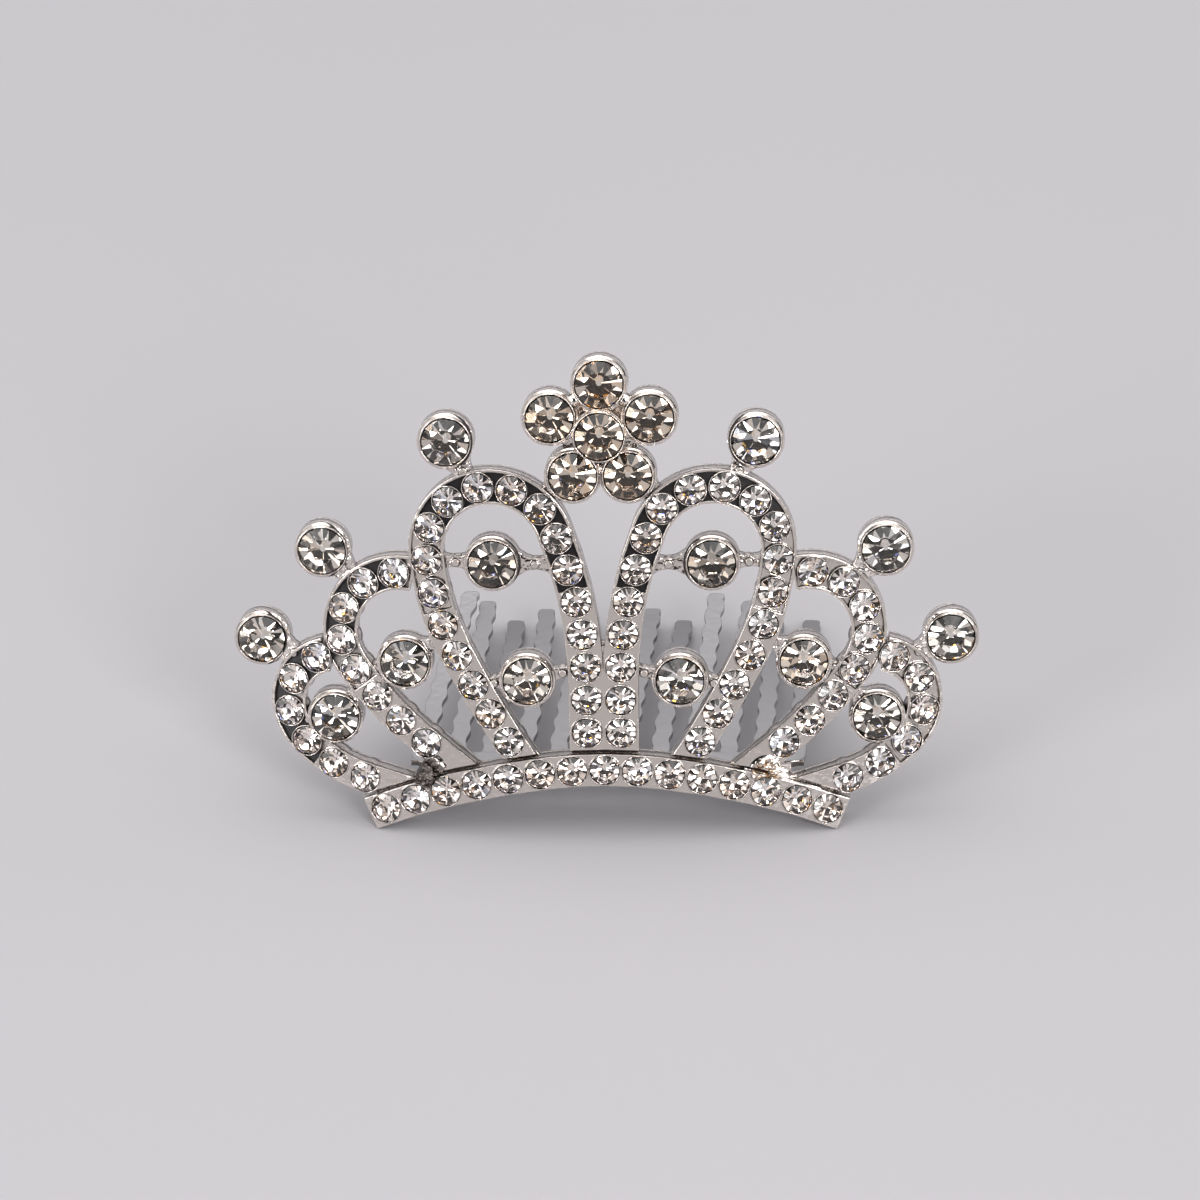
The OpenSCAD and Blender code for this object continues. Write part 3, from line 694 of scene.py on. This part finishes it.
def studio_world(settings):
    """A bright white room, darker in front of the tiara and behind it."""
    world = bpy.data.worlds.new("studio")
    bpy.context.scene.world = world
    world.use_nodes = True
    tree = world.node_tree
    tree.nodes.clear()
    place = add_node(tree, "ShaderNodeTexCoord").outputs["Generated"]
    way = add_node(tree, "ShaderNodeSeparateXYZ", {}, {"Vector": place})
    in_front = add_node(tree, "ShaderNodeMapRange", {"From Min": 0.0, "From Max": -0.4},
                        {"Value": way.outputs["Y"]})
    behind = add_node(tree, "ShaderNodeMapRange", {"From Min": 0.2, "From Max": 0.55},
                      {"Value": way.outputs["Y"]})
    ceiling = add_node(tree, "ShaderNodeMapRange", {"From Min": 0.8, "From Max": 0.9},
                       {"Value": way.outputs["Z"]})
    front, back, sides = (height_tones(tree, way.outputs["Z"], stops)
                          for stops in (FRONT_TONES, BACK_TONES, SIDE_TONES))
    walls = add_node(tree, "ShaderNodeVectorMath", {"operation": "SCALE", "Scale": settings.room},
                     {0: sides})
    with_front = add_node(tree, "ShaderNodeMix", {"data_type": "RGBA"},
                          {0: in_front, 6: walls, 7: front})
    with_back = add_node(tree, "ShaderNodeMix", {"data_type": "RGBA"},
                         {0: behind, 6: with_front, 7: back})
    room = add_node(tree, "ShaderNodeMix", {"data_type": "RGBA"},
                    {0: ceiling, 6: with_back, 7: walls})
    sky = add_node(tree, "ShaderNodeBackground", {"Strength": 1.0}, {"Color": room})
    add_node(tree, "ShaderNodeOutputWorld", {}, {"Surface": sky})


def area_light(name, place, size, power, colour):
    light = bpy.data.lights.new(name, "AREA")
    light.shape = "RECTANGLE"
    light.size, light.size_y = size
    light.energy = power
    light.color = srgb(colour)[:3]
    lamp = bpy.data.objects.new(name, light)
    bpy.context.scene.collection.objects.link(lamp)
    lamp.location = place
    lamp.rotation_mode = "QUATERNION"
    lamp.rotation_quaternion = (Vector(LAMP_AIM) - Vector(place)).to_track_quat("-Z", "Y")


def photo_camera():
    camera = bpy.data.objects.new("camera", bpy.data.cameras.new("camera"))
    bpy.context.scene.collection.objects.link(camera)
    camera.data.lens, camera.data.sensor_width = LENS, SENSOR
    camera.data.clip_start, camera.data.clip_end = 0.01, 20
    azimuth, elevation, roll = (math.radians(a) for a in (AZIMUTH, ELEVATION, ROLL))
    ahead = Vector((-math.sin(azimuth) * math.cos(elevation),
                    math.cos(azimuth) * math.cos(elevation), -math.sin(elevation)))
    right = Vector((math.cos(azimuth), math.sin(azimuth), 0))
    up = right.cross(ahead)
    right, up = (math.cos(roll) * right + math.sin(roll) * up,
                 -math.sin(roll) * right + math.cos(roll) * up)
    matrix = Matrix((right, up, -ahead)).transposed().to_4x4()
    matrix.translation = Vector(CAMERA_PLACE) * MM
    camera.matrix_world = matrix
    bpy.context.scene.camera = camera


class TIARA_OT_set_studio(bpy.types.Operator):
    """Sets the table, the soft lights and the camera"""
    bl_idname = "tiara.set_studio"
    bl_label = "Set the studio"

    def execute(self, context):
        settings = context.scene.tiara_studio
        set_table(settings)
        studio_world(settings)
        for name, place, size, power, colour in LAMPS:
            area_light(name, place, size, getattr(settings, power), colour)
        photo_camera()
        context.scene.view_settings.view_transform = "Standard"
        context.scene.cycles.glossy_bounces = 8
        return {"FINISHED"}


class TIARA_PT_panel(bpy.types.Panel):
    """Lists the steps and their settings"""
    bl_idname = "TIARA_PT_panel"
    bl_label = "Tiara comb"
    bl_space_type = "VIEW_3D"
    bl_region_type = "UI"
    bl_category = "Tiara"

    def draw(self, context):
        scene = context.scene
        for settings in (scene.tiara_metal, scene.tiara_stones, scene.tiara_studio):
            for name in type(settings).__annotations__:
                self.layout.prop(settings, name)
        for operator in OPERATORS:
            self.layout.operator(operator.bl_idname)


SETTINGS = [TiaraStoneSettings, TiaraMetalSettings, TiaraStudioSettings]
OPERATORS = [TIARA_OT_plate_metal, TIARA_OT_cut_flower_stones, TIARA_OT_cut_large_stones,
             TIARA_OT_cut_small_stones, TIARA_OT_set_studio]


def register():
    for cls in SETTINGS + OPERATORS + [TIARA_PT_panel]:
        bpy.utils.register_class(cls)
    bpy.types.Scene.tiara_stones = PointerProperty(type=TiaraStoneSettings)
    bpy.types.Scene.tiara_metal = PointerProperty(type=TiaraMetalSettings)
    bpy.types.Scene.tiara_studio = PointerProperty(type=TiaraStudioSettings)


def unregister():
    del bpy.types.Scene.tiara_studio
    del bpy.types.Scene.tiara_metal
    del bpy.types.Scene.tiara_stones
    for cls in reversed(SETTINGS + OPERATORS + [TIARA_PT_panel]):
        bpy.utils.unregister_class(cls)


def main():
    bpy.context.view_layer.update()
    register()
    bpy.ops.tiara.plate_metal()
    bpy.ops.tiara.cut_flower_stones()
    bpy.ops.tiara.cut_large_stones()
    bpy.ops.tiara.cut_small_stones()
    bpy.ops.tiara.set_studio()
    bpy.context.view_layer.update()


if __name__ == "__main__":
    main()
